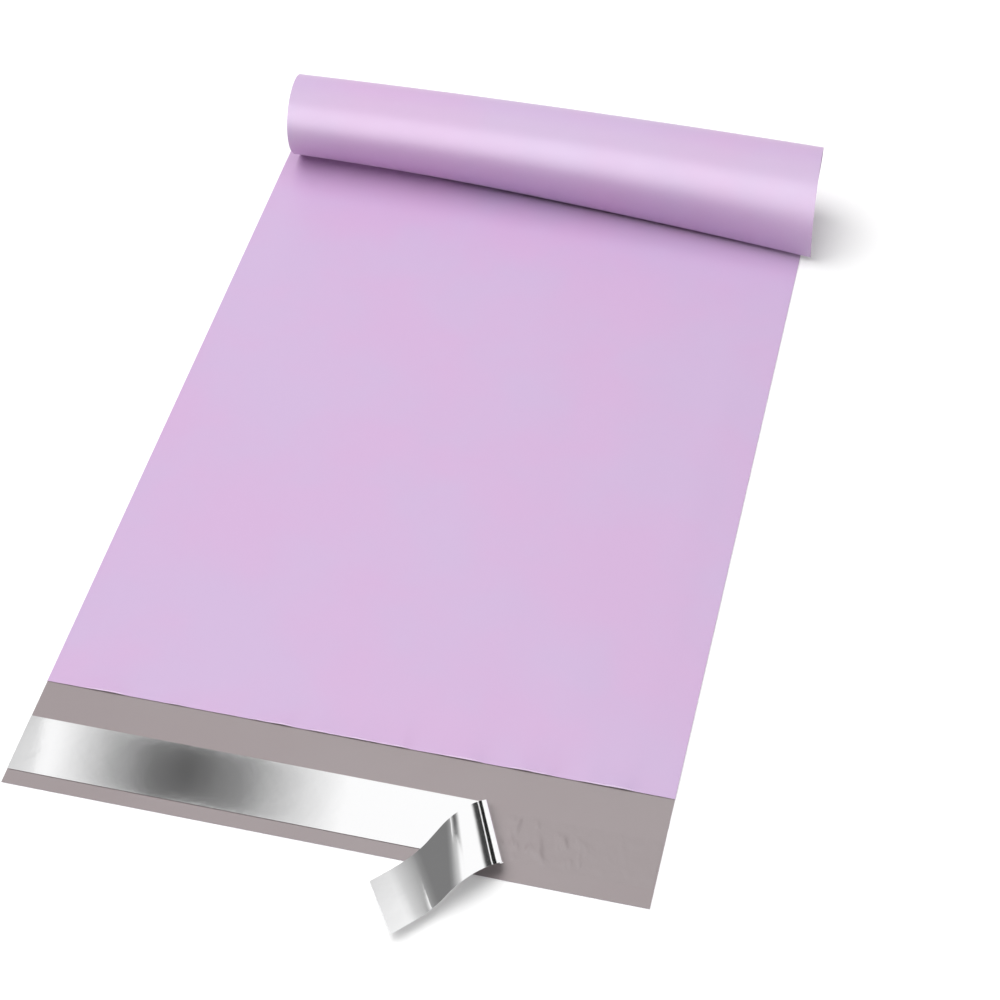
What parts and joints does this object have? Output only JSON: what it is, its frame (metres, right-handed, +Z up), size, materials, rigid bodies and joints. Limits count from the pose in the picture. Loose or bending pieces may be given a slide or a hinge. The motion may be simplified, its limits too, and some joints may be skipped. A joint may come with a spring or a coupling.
{
  "type": "poly mailer bag",
  "caption": "Flat lilac shipping bag of thin plastic film with an open adhesive flap, a part-peeled release liner and its closed end rolled up.",
  "frame": {"origin": "middle of the mouth, on the underside of the back panel", "axes": "+X to the bag's right, +Y from the mouth to the closed end, +Z up from the surface that the bag lies on"},
  "size_m": [0.259, 0.4516, 0.0435],
  "materials": {
    "film": "satin polyethylene film, lilac outside and grey inside",
    "adhesive": "glossy hot melt glue over grey film",
    "liner": "silvered release film"
  },
  "bodies": {
    "root": {"bag_film": "film", "adhesive_strip": "adhesive", "release_liner": "liner"}
  },
  "joints": []
}
